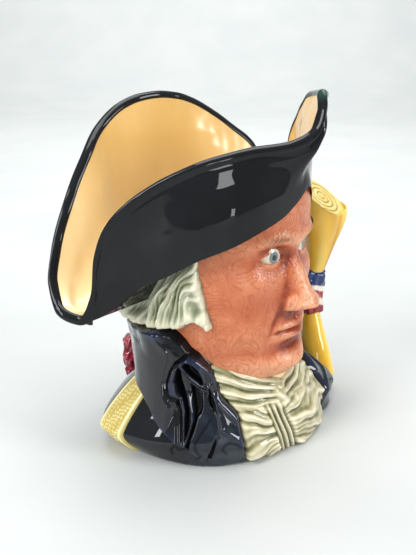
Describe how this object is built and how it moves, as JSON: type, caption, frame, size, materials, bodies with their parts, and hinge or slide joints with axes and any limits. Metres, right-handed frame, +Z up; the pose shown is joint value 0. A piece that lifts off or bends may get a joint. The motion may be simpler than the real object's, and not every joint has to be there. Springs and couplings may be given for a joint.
{
  "type": "character jug",
  "caption": "Hollow glazed ceramic jug shaped as a bust in a three-cornered hat, open at the top, with a rolled parchment as its handle.",
  "frame": {"origin": "on the flat base, where the head's upright axis meets it", "axes": "+Z up, the face looks along -Y, the scroll handle is on the figure's left at +X"},
  "size_m": [0.1737, 0.129, 0.1925],
  "materials": {
    "glaze": "gloss coloured glaze"
  },
  "bodies": {
    "root": {"jug": "glaze"}
  },
  "joints": []
}
